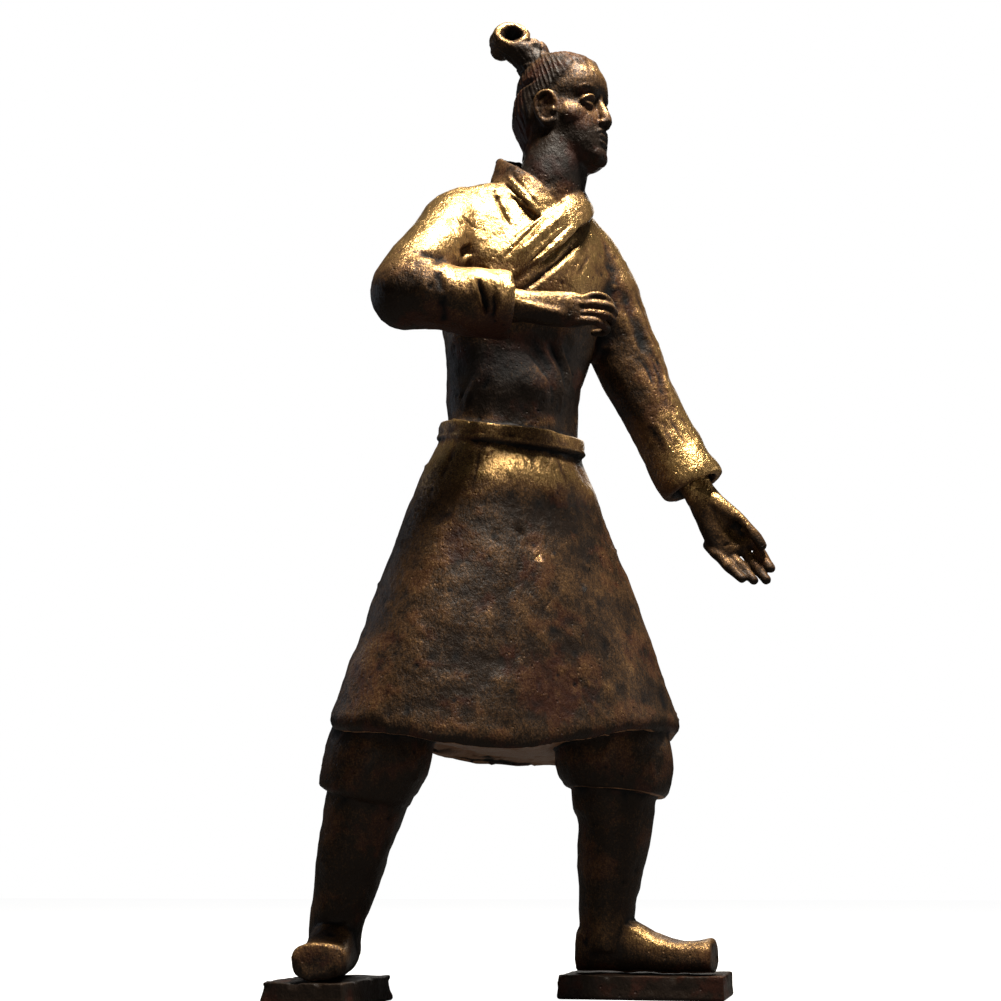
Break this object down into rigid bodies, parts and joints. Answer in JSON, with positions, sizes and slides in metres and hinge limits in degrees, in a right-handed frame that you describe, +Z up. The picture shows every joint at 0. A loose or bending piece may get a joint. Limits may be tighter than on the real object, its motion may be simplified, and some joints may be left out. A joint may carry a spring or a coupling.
{
  "type": "terracotta warrior statue",
  "caption": "Small standing archer statue in bronzed fired clay, robe belted at the waist, on two low foot plinths.",
  "frame": {"origin": "on the floor under the middle of the whole statue's bounding box", "axes": "+Z up, -Y the side the right foot points to (front), +X the side the left foot points to"},
  "size_m": [0.136, 0.0988, 0.3054],
  "materials": {
    "bronzed_clay": "dark bronze lacquer rubbed with gold on the high places",
    "bronzed_clay_base": "dark bronze lacquer, worn and chipped at the edges"
  },
  "bodies": {
    "root": {"warrior_figure": "bronzed_clay", "left_foot_plinth": "bronzed_clay_base", "right_foot_plinth": "bronzed_clay_base"}
  },
  "joints": []
}
